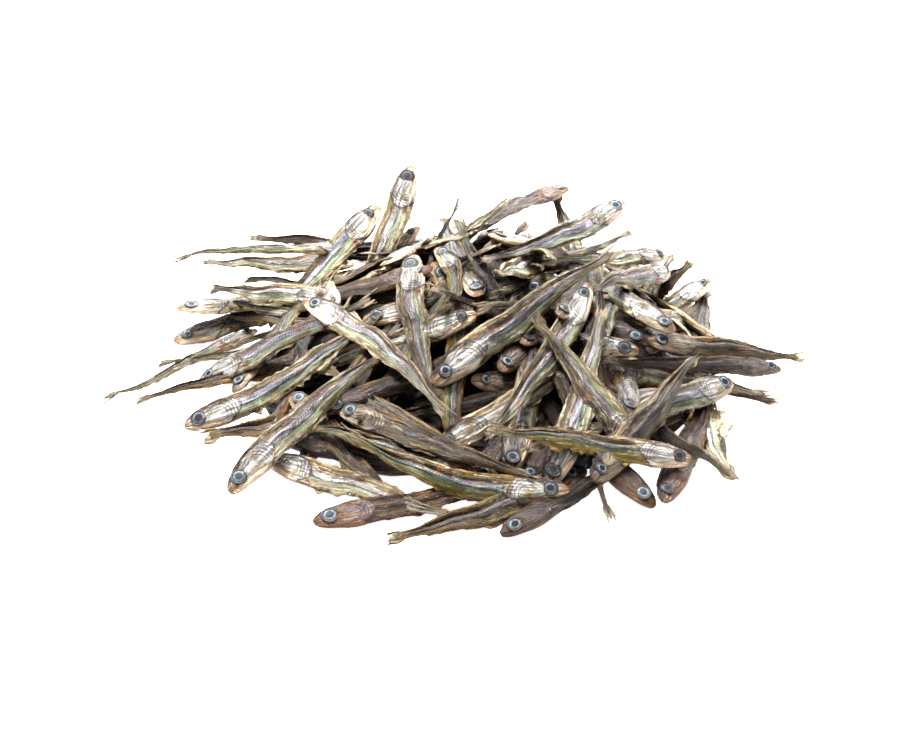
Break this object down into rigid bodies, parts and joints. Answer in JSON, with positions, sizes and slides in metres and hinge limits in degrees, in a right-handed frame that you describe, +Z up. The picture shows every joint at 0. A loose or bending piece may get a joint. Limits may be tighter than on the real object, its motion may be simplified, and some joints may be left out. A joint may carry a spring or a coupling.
{
  "type": "heap of dried anchovies",
  "caption": "Loose heap of small whole dried anchovies, heads and forked tails poking out all round, lying on its own flat base.",
  "frame": {"origin": "on the surface the heap lies on, in its flat base, close to the middle of the heap", "axes": "+Z up, +X along the heap's length to the right of the side that is looked at, and that side faces -Y"},
  "size_m": [0.2034, 0.1772, 0.0487],
  "materials": {
    "dried_fish_skin": "dry silvery brown fish skin, half dull, with a pale metallic stripe, a dark back and a yellowish belly"
  },
  "bodies": {
    "root": {"anchovy_heap": "dried_fish_skin"}
  },
  "joints": []
}
